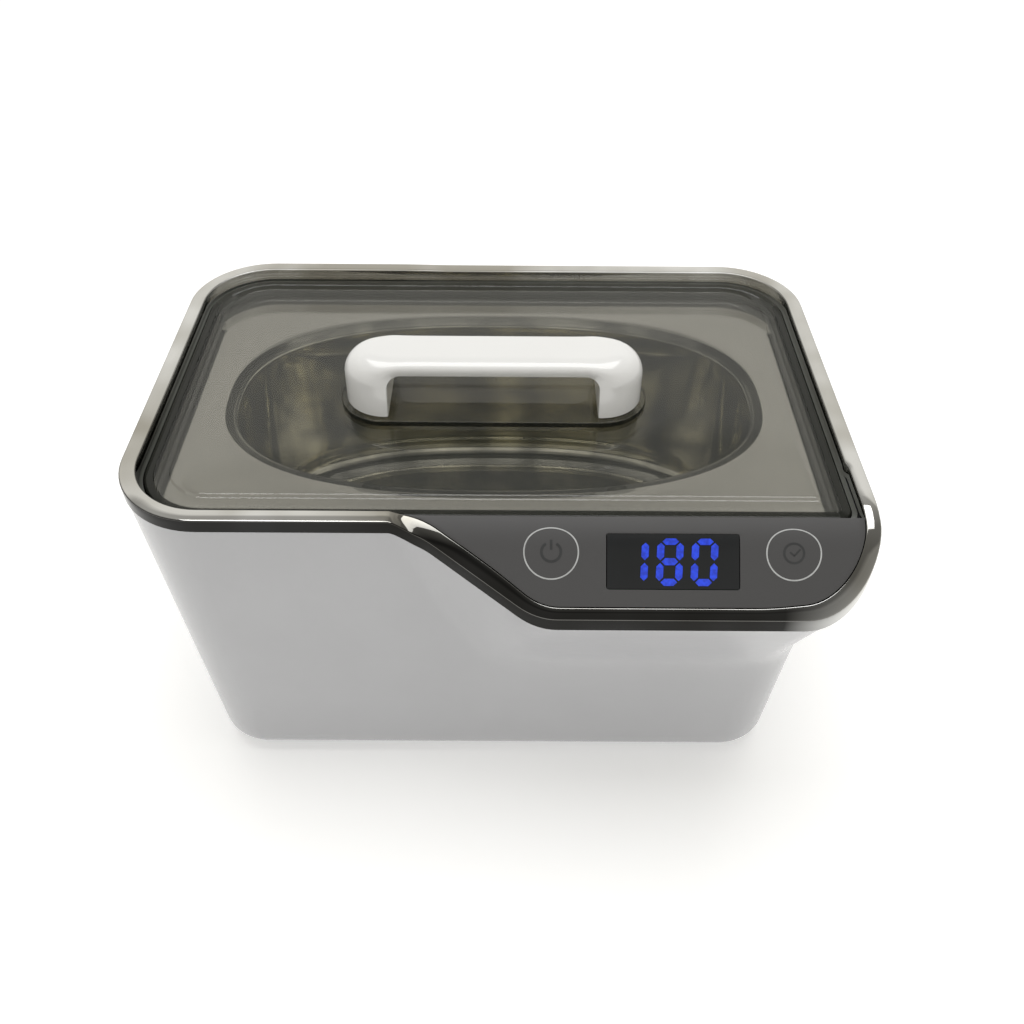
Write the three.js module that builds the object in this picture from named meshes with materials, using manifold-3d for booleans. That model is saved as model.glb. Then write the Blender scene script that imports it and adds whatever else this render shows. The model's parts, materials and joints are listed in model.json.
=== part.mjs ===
// Bench-top ultrasonic cleaner: a tapered plastic tub with a bright trim ring, a sloping control
// nose at the front right, a drawn steel tank, a smoked lift-off lid and the drive electronics.
// Millimetres, +Z up, front facing -Y. Inside the file, heights are measured from the top of the
// trim ring and depths from the middle of that ring. The group at the end moves the origin to the
// middle of the footprint, on the surface that the feet stand on.
import * as THREE from 'three';
import { mergeVertices } from 'three/addons/utils/BufferGeometryUtils.js';
import Module from 'manifold-3d';

const wasm = await Module();
wasm.setup();

// ---------- Driving dimensions ----------
const GAP = 0.3; // left between pieces that touch

const RING = { halfWidth: 104, halfDepth: 67.2, corner: 25.5, face: 4.6, height: 4 };
const NOSE = {
  depth: 16.8, // how far the nose stands out in front of the ring
  left: -27, // where its left flank leaves the ring
  bend: 24, // radius of both bends of that flank
  flank: 26.6, // angle of the flank, degrees
  corner: 20, // front right corner
  face: 3.2, // width of the trim's face around the panel
  hinge: -64.8, // where the panel's plane meets the level of the ring
  slope: 45, // tilt of the panel, degrees
  shoulder: 20, // radius of the bend between level and slope
  levelEnd: -26.5, // left of this the ring stays level at the front too
  ramp: 31, // how steeply its level part runs down into the slope, in degrees
  chin: 61, // depth below the ring at which the nose has run out into the front wall
  fullStand: 11, // what stands out further than this reaches down to the chin
};
const BODY = { halfWidth: 93.7, halfDepth: 59.9, corner: 17, edge: 6, wall: 2.5, height: 114, clear: 0.5 };
const FOOT = { height: 3, radius: 7, x: 64, y: 38 };
const POST = { x: 80, y: 45, radius: 4, length: 26 };
const BASE = { plate: 3, lip: 9, flange: 6 };
const VENT = { count: 7, pitch: 7, width: 3, length: 24, x: -70, y: 17 };
const LID = { inset: 6, top: -3.5, plate: 2.6, skirt: 5.2, rise: 0.9, border: 7.2, corner: 4 };
const HANDLE = {
  width: 89,
  depth: 25,
  y: -9.3,
  top: 15.4,
  barDepth: 17, // front to back, of the bar across the top
  bar: 4.2, // its thickness
  gapWidth: 62,
  shoulder: 7,
};
const BOSS = { width: 92.5, depth: 28.5, rise: 1.8 };
const TANK = { deck: -9, sheet: 1.2, halfWidth: 84, halfDepth: 46.5, depth: 57, floorRadius: 12, draft: 3 };
const FRAME = { shelf: -14.4, plate: 2.4, opening: 15, outside: 4.2, inside: 5.6 };
const PANEL = { recess: 0.4, plate: 2.2, x: 48.4, slope: 11 };
const WINDOW = { width: 35, height: 15, thick: 2 };
const TOUCH = { spread: 64.4, slope: 9.5 };
const SOUND = { radius: 22.5, head: 14, ceramic: 5, electrode: 0.4, back: 8, boltHead: 4.5 };
const BOARD = { x: 56, width: 56, depth: 76, plate: 1.6, lift: 5.5, boss: 3.2 };
const INLET = { x: 40, z: -88, width: 25, height: 15, deep: 18, pins: 4.3, pinEnd: -5, pinLength: 21 };

const floorLevel = -BODY.height;
const wallTaper = (RING.halfDepth - 0.5 - BODY.halfDepth) / (BODY.height - RING.height);

// ---------- Materials ----------
function finish(color, roughness, metalness, extra = {}) {
  return new THREE.MeshStandardMaterial({ color, roughness, metalness, ...extra });
}
const white = finish(0xe9e9ea, 0.25, 0);
const chrome = finish(0xd5d5d2, 0.08, 1);
const steel = finish(0xb9b8b0, 0.12, 1);
const smoked = finish(0x3c3f39, 0.05, 0, { transparent: true, opacity: 0.45 });
const black = finish(0x1b1c1e, 0.45, 0);
const fasciaGrey = finish(0x55565a, 0.2, 0);
const lens = finish(0x14161c, 0.08, 0);
const rubber = finish(0x2a2a2c, 0.8, 0);
const silicone = finish(0xd8d8d4, 0.6, 0);
const aluminium = finish(0xb4b7ba, 0.35, 1);
const ceramic = finish(0x8d8578, 0.7, 0);
const brass = finish(0xc6a25a, 0.3, 1);
const screwSteel = finish(0x9fa2a6, 0.3, 1);
const board = finish(0x2f6b45, 0.5, 0);
const ferrite = finish(0x3a3a3c, 0.7, 0);
const winding = finish(0xb8692f, 0.4, 0.6);
const cableWhite = finish(0xdedbd2, 0.5, 0);
const cableGrey = finish(0x8a8c8e, 0.5, 0);

// ---------- Solids ----------
const radians = THREE.MathUtils.degToRad;

function solid(geometry) {
  const bare = geometry.clone();
  bare.deleteAttribute('normal');
  bare.deleteAttribute('uv');
  const merged = mergeVertices(bare, 1e-4);
  return new wasm.Manifold(new wasm.Mesh({
    numProp: 3,
    vertProperties: new Float32Array(merged.attributes.position.array),
    triVerts: new Uint32Array(merged.index.array),
  }));
}

function geometryOf(body) {
  const mesh = body.getMesh();
  const geometry = new THREE.BufferGeometry();
  geometry.setAttribute('position', new THREE.BufferAttribute(mesh.vertProperties, 3));
  geometry.setIndex(new THREE.BufferAttribute(mesh.triVerts, 1));
  geometry.computeVertexNormals();
  return geometry;
}

function part(name, body, material) {
  const geometry = body.isBufferGeometry ? body : geometryOf(body);
  const mesh = new THREE.Mesh(geometry, material);
  mesh.name = name;
  return mesh;
}

// A straight prism between two heights.
function prism(shape, low, high, curveSegments = 8) {
  const options = { depth: high - low, bevelEnabled: false, curveSegments };
  return solid(new THREE.ExtrudeGeometry(shape, options).translate(0, 0, low));
}

function block(width, depth, height, x, y, z) {
  return solid(new THREE.BoxGeometry(width, depth, height).translate(x, y, z));
}

function rod(radius, low, high, x = 0, y = 0, sides = 24) {
  const geometry = new THREE.CylinderGeometry(radius, radius, high - low, sides);
  return solid(geometry.rotateX(Math.PI / 2).translate(x, y, (low + high) / 2));
}

// A turned solid about Z from [radius, height] pairs that start and end on the axis.
function turned(profile, sides = 24) {
  const points = profile.map(([radius, height]) => new THREE.Vector2(radius, height));
  return solid(new THREE.LatheGeometry(points, sides).rotateX(Math.PI / 2));
}

// A solid whose outline changes with height. Every level's outline has the same number of points.
function loft(levels) {
  const steps = levels.length - 1;
  const outline = levels.at(-1).points;
  const shape = new THREE.Shape(outline);
  const geometry = new THREE.ExtrudeGeometry(shape, { depth: steps, steps, bevelEnabled: false });
  const position = geometry.attributes.position;
  for (let i = 0; i < position.count; i += 1) {
    const level = levels[Math.round(position.getZ(i))];
    const here = new THREE.Vector2(position.getX(i), position.getY(i));
    const target = level.points[outline.findIndex((p) => p.distanceTo(here) < 1e-3)];
    position.setXYZ(i, target.x, target.y, level.z);
  }
  return solid(geometry);
}

// A lead of round section along a smooth path, its ends left clear of what it joins.
function lead(radius, path, sides = 8) {
  const curve = new THREE.CatmullRomCurve3(path.map(([x, y, z]) => new THREE.Vector3(x, y, z)));
  const section = new THREE.Shape();
  section.absarc(0, 0, radius, 0, 2 * Math.PI, false);
  const steps = Math.ceil(curve.getLength() / (radius * 5));
  const options = { extrudePath: curve, steps, bevelEnabled: false, curveSegments: sides };
  return solid(new THREE.ExtrudeGeometry(section, options));
}

// ---------- Outlines, counter-clockwise from the back right corner ----------
function roundedOutline(halfWidth, halfDepth, corner, frontRight = corner) {
  const shape = new THREE.Shape();
  const right = halfWidth - corner;
  const back = halfDepth - corner;
  shape.absarc(right, back, corner, 0, Math.PI / 2, false);
  shape.absarc(-right, back, corner, Math.PI / 2, Math.PI, false);
  shape.absarc(-right, -back, corner, Math.PI, 1.5 * Math.PI, false);
  const nearX = halfWidth - frontRight;
  const nearY = -halfDepth + frontRight;
  shape.absarc(nearX, nearY, frontRight, 1.5 * Math.PI, 2 * Math.PI, false);
  return shape;
}

function ringOutline(inset, frontRight = RING.corner - inset) {
  return roundedOutline(RING.halfWidth - inset, RING.halfDepth - inset, RING.corner - inset, frontRight);
}

function stadium(width, depth, x = 0, y = 0) {
  const shape = new THREE.Shape();
  const radius = depth / 2;
  const reach = width / 2 - radius;
  shape.absarc(x + reach, y, radius, -Math.PI / 2, Math.PI / 2, false);
  shape.absarc(x - reach, y, radius, Math.PI / 2, 1.5 * Math.PI, false);
  return shape;
}

function circle(x, y, radius) {
  const shape = new THREE.Shape();
  shape.absarc(x, y, radius, 0, 2 * Math.PI, false);
  return shape;
}

// The nose seen from above: an S-shaped left flank, a straight front and a round right corner,
// closed off at `back` inside the tub.
function noseOutline(inset, back = -40) {
  const turn = radians(NOSE.flank);
  const wall = -RING.halfDepth;
  const front = wall - NOSE.depth;
  const drop = 2 * NOSE.bend * (1 - Math.cos(turn));
  const straight = (NOSE.depth - drop) / Math.sin(turn);
  const exitX = NOSE.left + 2 * NOSE.bend * Math.sin(turn) + straight * Math.cos(turn);
  const cornerX = RING.halfWidth - NOSE.corner;
  const down = -Math.PI / 2;
  const shape = new THREE.Shape();
  shape.moveTo(RING.halfWidth - inset, back);
  shape.lineTo(NOSE.left, back);
  shape.absarc(NOSE.left, wall - NOSE.bend, NOSE.bend + inset, -down, -down - turn, true);
  shape.absarc(exitX, front + NOSE.bend, NOSE.bend - inset, down - turn, down, false);
  shape.absarc(cornerX, front + NOSE.corner, NOSE.corner - inset, down, 0, false);
  return shape;
}

// Everything below the level of the ring left of the nose, with its ramp down into the slope.
function underLevel(drop) {
  const run = 60;
  const shape = new THREE.Shape();
  shape.moveTo(-130, -150);
  shape.lineTo(NOSE.levelEnd + run, -150);
  shape.lineTo(NOSE.levelEnd + run, -run * Math.tan(radians(NOSE.ramp)) - drop);
  shape.lineTo(NOSE.levelEnd, -drop);
  shape.lineTo(-130, -drop);
  const geometry = new THREE.ExtrudeGeometry(shape, { depth: 260, bevelEnabled: false });
  return solid(geometry.rotateX(Math.PI / 2).translate(0, 130, 0));
}

// Everything below the trim's top surface, lowered by `drop`: level at the back and on the left,
// then bending down into the slope of the panel.
function underTop(drop) {
  const turn = radians(NOSE.slope);
  const tangent = NOSE.shoulder * Math.tan(turn / 2);
  const start = NOSE.hinge + tangent;
  const far = 40;
  const shape = new THREE.Shape();
  shape.moveTo(90, -150);
  shape.lineTo(90, -drop);
  const up = Math.PI / 2;
  shape.absarc(start, -NOSE.shoulder - drop, NOSE.shoulder, up, up + turn, false);
  shape.lineTo(NOSE.hinge - far, -far * Math.tan(turn) - drop);
  shape.lineTo(NOSE.hinge - far, -150);
  const options = { depth: 260, bevelEnabled: false, curveSegments: 8 };
  const geometry = new THREE.ExtrudeGeometry(shape, options);
  const sloped = solid(geometry.rotateX(Math.PI / 2).rotateZ(Math.PI / 2).translate(-130, 0, 0));
  return sloped.add(underLevel(drop));
}

// ---------- Tub ----------
function cleanPoints(shape, segments) {
  const list = shape.getPoints(segments);
  return list.filter((p, i) => p.distanceTo(list[(i + list.length - 1) % list.length]) > 1e-3);
}

// The tub's section at one height, tapering from under the trim to the base.
function tubSection(z, inset) {
  const k = THREE.MathUtils.clamp((-RING.height - z) / (BODY.height - RING.height), 0, 1);
  const halfWidth = THREE.MathUtils.lerp(RING.halfWidth - BODY.clear, BODY.halfWidth, k);
  const halfDepth = THREE.MathUtils.lerp(RING.halfDepth - BODY.clear, BODY.halfDepth, k);
  const corner = THREE.MathUtils.lerp(RING.corner - BODY.clear, BODY.corner, k);
  return { halfWidth: halfWidth - inset, halfDepth: halfDepth - inset, corner: corner - inset };
}

function tubLevel(z, inset, edge = 0) {
  const { halfWidth, halfDepth, corner } = tubSection(z, inset + edge);
  return { z, points: cleanPoints(roundedOutline(halfWidth, halfDepth, corner), 5) };
}

function tubVolume(inset, bottom, edgeRadius) {
  const levels = [0, 0.25, 0.5, 0.75, 1].map((k) => {
    const angle = k * Math.PI / 2;
    const edge = edgeRadius * (1 - Math.sin(angle));
    return tubLevel(bottom + edgeRadius * (1 - Math.cos(angle)), inset, edge);
  });
  return loft([...levels, tubLevel(-RING.height, inset), tubLevel(0, inset)]);
}

// The place just inside a rounded section that is nearest to a point. The last term keeps points
// that lie behind each other from falling together.
function pulledInside(p, { halfWidth, halfDepth, corner }) {
  const core = new THREE.Vector2(halfWidth - corner, halfDepth - corner);
  const anchor = p.clone().clamp(core.clone().negate(), core);
  const arm = p.clone().sub(anchor);
  return anchor.add(arm.clampLength(0, corner - 0.5 + 0.01 * arm.length()));
}

// The depths at which a point of the nose starts to run back into the tub and has done so. Along
// the flank, where it stands out little, both are higher up.
function noseRun(p) {
  const low = RING.height + NOSE.depth;
  if (p.x > PANEL.x) return [low, NOSE.chin];
  const stand = Math.max(-RING.halfDepth - p.y, 0.1);
  const begin = RING.height + Math.min(Math.max(0, NOSE.hinge - p.y), NOSE.depth);
  return [begin, begin + (NOSE.chin - low) * Math.min(1, (stand / NOSE.fullStand) ** 0.65)];
}

// The nose's part of the tub: its outline under the trim, running back into the front wall. Its
// right side keeps just within the taper of the tub.
function noseVolume(inset) {
  const base = cleanPoints(noseOutline(BODY.clear + inset), 5);
  const full = tubSection(0, inset);
  const levels = [NOSE.chin - inset, 56, 50, 44, 38, 32, 26, 20, 14, 8, 0].map((depth) => {
    const section = tubSection(-depth, inset);
    const taper = section.halfWidth / full.halfWidth - 0.0005;
    const points = base.map((p) => {
      const [begin, end] = noseRun(p);
      const run = THREE.MathUtils.clamp((depth + inset - begin) / (end - begin), 0, 1);
      const straight = new THREE.Vector2(p.x > 0 ? p.x * taper : p.x, p.y);
      return straight.lerp(pulledInside(p, section), run);
    });
    return { z: -depth, points };
  });
  return loft(levels);
}

function corners(x, y) {
  return [[-x, -y], [x, -y], [x, y], [-x, y]];
}

// A screw post tied into the corner of the tub by a rib.
function cornerPost([x, y]) {
  const low = floorLevel + BASE.plate + 3;
  const reach = 5;
  const rib = new THREE.BoxGeometry(12, 2, POST.length).rotateZ(Math.sign(x * y) * Math.PI / 4);
  rib.translate(x + Math.sign(x) * reach, y + Math.sign(y) * reach, low + POST.length / 2);
  return rod(POST.radius, low, low + POST.length, x, y, 16).add(solid(rib));
}

function inletFrame() {
  const wall = tubSection(INLET.z, 0).halfDepth;
  return new THREE.Matrix4().makeRotationX(-Math.atan(wallTaper)).setPosition(INLET.x, wall, INLET.z);
}

function housingShell() {
  const outer = tubVolume(0, floorLevel, BODY.edge).add(noseVolume(0));
  const room = tubVolume(BODY.wall, floorLevel + BASE.plate, 3).add(noseVolume(BODY.wall));
  const lip = tubSection(floorLevel, BASE.lip);
  const opening = roundedOutline(lip.halfWidth, lip.halfDepth, lip.corner);
  const envelope = tubVolume(1, floorLevel + 1, 5);
  let shell = outer.subtract(room).subtract(prism(opening, floorLevel - 1, floorLevel + BASE.plate + 1, 5));
  for (const [x, y] of corners(POST.x, POST.y)) {
    shell = shell.add(cornerPost([x, y]).intersect(envelope));
    shell = shell.subtract(rod(1.7, floorLevel, floorLevel + 18, x, y, 12));
  }
  const socket = new THREE.BoxGeometry(INLET.width - 3, 20, INLET.height - 3).applyMatrix4(inletFrame());
  return shell.intersect(underTop(RING.height + GAP)).subtract(solid(socket));
}

// The base cover shuts the opening in the tub's floor and carries the driver board on four bosses.
function baseCover() {
  const seat = floorLevel + BASE.plate + GAP;
  const inside = seat + 2;
  const inner = tubSection(floorLevel, BASE.lip + GAP);
  const wide = tubSection(floorLevel, BASE.flange);
  let cover = prism(roundedOutline(inner.halfWidth, inner.halfDepth, inner.corner), floorLevel, seat + 1, 5);
  cover = cover.add(prism(roundedOutline(wide.halfWidth, wide.halfDepth, wide.corner), seat, inside, 5));
  for (const [x, y] of boardScrews) {
    cover = cover.add(rod(BOARD.boss, inside - 1, boardTop - BOARD.plate - GAP, x, y, 16));
    cover = cover.subtract(rod(1.4, inside, boardTop, x, y, 12));
  }
  for (const [x, y] of corners(POST.x, POST.y)) {
    cover = cover.subtract(rod(1.8, floorLevel - 1, inside + 1, x, y, 12));
    cover = cover.subtract(rod(3.6, floorLevel - 1, floorLevel + 2, x, y, 16));
  }
  for (const [x, y] of corners(FOOT.x, FOOT.y)) {
    cover = cover.subtract(rod(2.6, floorLevel - 1, inside + 1, x, y, 12));
  }
  for (let i = 0; i < VENT.count; i += 1) {
    const x = VENT.x + i * VENT.pitch;
    for (const y of [-VENT.y, VENT.y]) {
      cover = cover.subtract(block(VENT.width, VENT.length, 12, x, y, floorLevel));
    }
  }
  return cover;
}

function foot([x, y]) {
  const profile = [[0, -FOOT.height], [6, -FOOT.height], [FOOT.radius, 1 - FOOT.height], [FOOT.radius, -GAP],
    [2.3, -GAP], [2.3, 5], [0, 5]];
  return turned(profile, 20).translate([x, y, floorLevel]);
}

function baseScrew([x, y]) {
  const profile = [[0, 0.3], [2.2, 0.3], [3.2, 1], [3.2, 1.7], [1.4, 1.7], [1.4, 14], [0, 15.4]];
  return turned(profile, 16).translate([x, y, floorLevel]);
}

// ---------- Trim, inner frame and control panel ----------
const belowNose = -NOSE.depth - 12;

function chromeTrim() {
  const outside = prism(ringOutline(0), belowNose, 1).add(prism(noseOutline(0), belowNose, 1));
  const ringRoom = prism(ringOutline(RING.face), belowNose - 1, 2);
  const panelRoom = prism(noseOutline(NOSE.face, -41), belowNose - 1, 2);
  const band = underTop(0).subtract(underTop(RING.height));
  return outside.subtract(ringRoom.add(panelRoom)).intersect(band);
}

// The inner frame carries the tank and the lid, and shuts the tank side off from the nose.
function topFrame() {
  const low = FRAME.shelf;
  const high = low + FRAME.plate;
  const outside = ringOutline(FRAME.outside, LID.corner + 1.8);
  const inside = ringOutline(FRAME.inside, LID.corner + 0.4);
  const shelf = prism(outside, low, high).subtract(prism(ringOutline(FRAME.opening), low - 1, high + 1));
  const rim = prism(outside, low, 0).subtract(prism(inside, low - 1, 1));
  return shelf.add(rim).intersect(underTop(RING.height + GAP));
}

// Moves a shape from the panel's own frame (x right, y up the slope, z out of its face) to its place.
function onPanel(geometry, x = PANEL.x, slope = PANEL.slope) {
  const turn = radians(NOSE.slope);
  return geometry.rotateX(turn).translate(x, NOSE.hinge - slope * Math.cos(turn), -slope * Math.sin(turn));
}

function controlFascia() {
  const outline = prism(noseOutline(NOSE.face + GAP), belowNose, 1);
  const front = block(300, 60, 80, 0, RING.face - RING.halfDepth - 30 - GAP, 0);
  const underside = PANEL.recess + PANEL.plate / Math.cos(radians(NOSE.slope));
  const plate = underTop(PANEL.recess).subtract(underTop(underside));
  const hole = solid(onPanel(new THREE.BoxGeometry(WINDOW.width, WINDOW.height, 20)));
  return outline.intersect(plate).intersect(front).subtract(hole);
}

function displayWindow() {
  const box = new THREE.BoxGeometry(WINDOW.width - 2 * GAP, WINDOW.height - 2 * GAP, WINDOW.thick);
  return solid(onPanel(box.translate(0, 0, -PANEL.recess * 0.8 - WINDOW.thick / 2)));
}

// A plate or block behind the panel, at a depth below its face.
function behindPanel(width, height, thick, depth, x = PANEL.x, slope = PANEL.slope) {
  const plate = new THREE.BoxGeometry(width, height, thick).translate(0, 0, -depth - thick / 2);
  return solid(onPanel(plate, x, slope));
}

// A touch spring: a cone of wire closed up as a turned cup, open towards the board.
function touchSpring(x) {
  const profile = [[0, -4.1], [3.2, -4.1], [3.8, -5.4], [4.5, -5.4], [3.8, -3.4], [0, -3.4]];
  const line = profile.map(([radius, height]) => new THREE.Vector2(radius, height));
  return solid(onPanel(new THREE.LatheGeometry(line, 20).rotateX(Math.PI / 2), x, TOUCH.slope));
}

function buzzer() {
  const body = new THREE.CylinderGeometry(4.5, 4.5, 4, 20).rotateX(Math.PI / 2).translate(0, 0, -9.2);
  return solid(onPanel(body, PANEL.x + 22, 16.5));
}

// ---------- Lid ----------
const handleFeet = [-1, 1].map((side) => [side * (HANDLE.width + HANDLE.gapWidth) / 4, HANDLE.y]);
const bossTop = LID.top + LID.rise + BOSS.rise;

function lidPanel() {
  const low = LID.top - LID.plate;
  const bottom = LID.top - LID.skirt;
  const outline = (inset) => ringOutline(LID.inset + inset, Math.max(LID.corner - inset, 1.5));
  const plate = prism(outline(0), low, LID.top);
  const skirt = prism(outline(0), bottom, LID.top).subtract(prism(outline(2.2), bottom - 1, low + 0.01));
  const raised = prism(outline(LID.border), low + LID.rise, LID.top + LID.rise);
  const under = prism(outline(LID.border + LID.plate), low - 1, low + LID.rise);
  const boss = prism(stadium(BOSS.width, BOSS.depth, 0, HANDLE.y), low + LID.rise, bossTop);
  let lid = plate.add(skirt).add(raised).subtract(under).add(boss);
  for (const [x, y] of handleFeet) lid = lid.subtract(rod(1.8, low - 2, bossTop + 1, x, y, 12));
  return lid;
}

// The finger gap seen from the front: straight sides and rounded top corners.
function fingerGap(low) {
  const half = HANDLE.gapWidth / 2;
  const round = 3.5;
  const ceiling = HANDLE.top - HANDLE.bar - round;
  const shape = new THREE.Shape();
  shape.moveTo(-half, low);
  shape.lineTo(half, low);
  shape.absarc(half - round, ceiling, round, 0, Math.PI / 2, false);
  shape.absarc(-half + round, ceiling, round, Math.PI / 2, Math.PI, false);
  const cut = new THREE.ExtrudeGeometry(shape, { depth: 60, bevelEnabled: false, curveSegments: 4 });
  return solid(cut.rotateX(Math.PI / 2).translate(0, 30 + HANDLE.y, 0));
}

// An arch: wide feet with round ends, drawn in towards a narrower, rounded bar on top.
function lidHandle() {
  const low = bossTop + GAP;
  const levels = [0, 0.4, 0.6, 0.75, 0.88, 0.96, 1].map((k) => {
    const depth = THREE.MathUtils.lerp(HANDLE.depth, HANDLE.barDepth, k);
    const shoulder = HANDLE.shoulder * (1 - Math.sqrt(1 - Math.max(0, (k - 0.4) / 0.6) ** 2));
    const shape = stadium(HANDLE.width - 2 * k - 2 * shoulder, depth - 0.4 * shoulder, 0, HANDLE.y);
    return { z: THREE.MathUtils.lerp(low, HANDLE.top, k), points: cleanPoints(shape, 6) };
  });
  let handle = loft(levels).subtract(fingerGap(low - 2));
  for (const [x, y] of handleFeet) handle = handle.subtract(rod(1.5, low - 1, low + 9, x, y, 12));
  return handle;
}

function handleScrew([x, y]) {
  const seat = LID.top - LID.plate + LID.rise;
  const profile = [[0, -1.9], [2.4, -1.9], [3.1, -1.2], [3.1, -GAP], [1.2, -GAP], [1.2, 12], [0, 12.6]];
  return turned(profile, 16).translate([x, y, seat]);
}

// ---------- Tank and sound head ----------
// A superellipse, flat on its long sides and full at its ends.
function basinOutline(grow, count = 40, power = 2.5) {
  const bulge = (value) => Math.sign(value) * Math.abs(value) ** (2 / power);
  return Array.from({ length: count }, (_, i) => {
    const angle = ((i + 0.5) / count) * 2 * Math.PI;
    const x = bulge(Math.cos(angle)) * (TANK.halfWidth + grow);
    return new THREE.Vector2(x, bulge(Math.sin(angle)) * (TANK.halfDepth + grow));
  });
}

// The basin's inside, or with `grow` its outside: a rolled rim, a slight draft and a round floor edge.
function basinVolume(grow) {
  const bottom = TANK.deck - TANK.depth - grow;
  const radius = TANK.floorRadius + grow;
  const floor = [0, 0.25, 0.5, 0.75, 1].map((k) => {
    const angle = k * Math.PI / 2;
    return [bottom + radius * (1 - Math.cos(angle)), TANK.draft + radius * (1 - Math.sin(angle))];
  });
  const rim = [[TANK.deck - 3.5, 1.6], [TANK.deck - 1.2, 0.8], [TANK.deck + 1, -0.6]];
  return loft([...floor, ...rim].map(([z, inset]) => ({ z, points: basinOutline(grow - inset) })));
}

function tank() {
  const deck = prism(ringOutline(LID.inset + 0.8, LID.corner), TANK.deck - TANK.sheet, TANK.deck);
  const above = block(300, 300, 20, 0, 0, TANK.deck + 10);
  return deck.add(basinVolume(TANK.sheet).subtract(above)).subtract(basinVolume(0));
}

function tankGasket() {
  const low = FRAME.shelf + FRAME.plate + GAP / 3;
  const top = TANK.deck - TANK.sheet - GAP / 3;
  return prism(ringOutline(8), low, top).subtract(prism(ringOutline(12), low - 1, top + 1));
}

// The sound head hangs under the tank floor: a bolt clamps the rings between two masses.
function soundHead() {
  const top = TANK.deck - TANK.depth - TANK.sheet - GAP;
  const layers = [
    ['radiating_head', SOUND.head, SOUND.radius, aluminium],
    ['piezo_ring_upper', SOUND.ceramic, 19, ceramic],
    ['electrode_plate_upper', SOUND.electrode, 19, brass],
    ['piezo_ring_lower', SOUND.ceramic, 19, ceramic],
    ['electrode_plate_lower', SOUND.electrode, 19, brass],
    ['back_mass', SOUND.back, 20, screwSteel],
  ];
  const threadTop = top - SOUND.head + 8;
  let level = top;
  const meshes = layers.map(([name, height, radius, material]) => {
    const low = level - height;
    level = low - GAP / 3;
    const hole = rod(5.3, low - 1, Math.min(low + height + 1, threadTop + 0.5));
    return part(name, rod(radius, low, low + height, 0, 0, 28).subtract(hole), material);
  });
  const low = level - SOUND.boltHead;
  const bolt = [[0, low], [7.5, low], [7.5, level], [4.9, level], [4.9, threadTop], [0, threadTop]];
  return [...meshes, part('transducer_bolt', turned(bolt, 18), screwSteel)];
}

// ---------- Driver electronics ----------
const boardTop = floorLevel + BASE.plate + BOARD.lift + BOARD.plate;

function onBoard(width, depth, height, x, y, lift = 0.2) {
  return block(width, depth, height, BOARD.x + x, y, boardTop + lift + height / 2);
}

function can(radius, height, x, y) {
  const low = boardTop + 0.2;
  return rod(radius, low, low + height, BOARD.x + x, y, 20);
}

const boardScrews = corners(BOARD.width / 2 - 4, BOARD.depth / 2 - 4).map(([x, y]) => [BOARD.x + x, y]);

function driverBoard() {
  let plate = block(BOARD.width, BOARD.depth, BOARD.plate, BOARD.x, 0, boardTop - BOARD.plate / 2);
  for (const [x, y] of boardScrews) plate = plate.subtract(rod(1.7, boardTop - 4, boardTop + 2, x, y, 12));
  return plate;
}

function boardScrew([x, y]) {
  const profile = [[0, -4], [1.1, -3.6], [1.1, 0.2], [2.7, 0.2], [2.7, 1.4], [1.8, 2.2], [0, 2.2]];
  return turned(profile, 14).translate([x, y, boardTop]);
}

function electronics() {
  return [
    part('driver_board', driverBoard(), board),
    part('transformer_core', transformerCore(), ferrite),
    part('transformer_winding', transformerWinding(), winding),
    part('tuning_choke', tuningChoke(), winding),
    part('bulk_capacitor', can(8, 26, -15, -24.5), black),
    part('filter_capacitor', onBoard(16, 8, 14, -14, 26), cableWhite),
    part('heat_sink', heatSink(), aluminium),
    part('power_transistor_front', onBoard(4.5, 10, 16, 13.2, -20), black),
    part('power_transistor_rear', onBoard(4.5, 10, 16, 13.2, 2), black),
    part('fuse', fuse(), cableWhite),
    part('mains_connector', onBoard(10, 7, 9, -6, 34), cableWhite),
    part('panel_connector', onBoard(10, 5, 7, 6, -34), cableWhite),
    part('sound_connector', onBoard(7, 9, 9, -24, 4), cableWhite),
  ];
}

function transformerCore() {
  return onBoard(24, 20, 22, -8, -2).subtract(onBoard(12.6, 30, 14.6, -8, -2, 3.9));
}

function transformerWinding() {
  return onBoard(12, 26, 14, -8, -2, 4.2);
}

function tuningChoke() {
  const ring = new THREE.TorusGeometry(7.5, 3.4, 10, 20);
  return solid(ring.translate(BOARD.x + 6, 20, boardTop + 3.7));
}

function heatSink() {
  let sink = onBoard(3, 48, 30, 18, -10);
  for (let i = 0; i < 6; i += 1) sink = sink.add(onBoard(7, 1.6, 30, 22.5, -27 + i * 8));
  return sink;
}

function fuse() {
  const tube = new THREE.CylinderGeometry(2.6, 2.6, 20, 14);
  return solid(tube.rotateZ(Math.PI / 2).translate(BOARD.x - 15.5, 14.5, boardTop + 3));
}

// ---------- Mains inlet in the rear wall ----------
function atInlet(geometry) {
  return solid(geometry.applyMatrix4(inletFrame()));
}

function powerInlet() {
  const flange = new THREE.BoxGeometry(INLET.width, 2, INLET.height).translate(0, 1 + GAP, 0);
  const barrel = new THREE.BoxGeometry(INLET.width - 3.6, INLET.deep, INLET.height - 3.6);
  const outer = atInlet(flange).add(atInlet(barrel.translate(0, 2 - INLET.deep / 2, 0)));
  const mouth = stadium(17, 9);
  const pocket = new THREE.ExtrudeGeometry(mouth, { depth: 14, bevelEnabled: false, curveSegments: 8 });
  let inlet = outer.subtract(atInlet(pocket.rotateX(Math.PI / 2).translate(0, 4, 0)));
  for (const side of [-1, 1]) inlet = inlet.subtract(atInlet(pinShape(side, 1.6)));
  return inlet;
}

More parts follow.
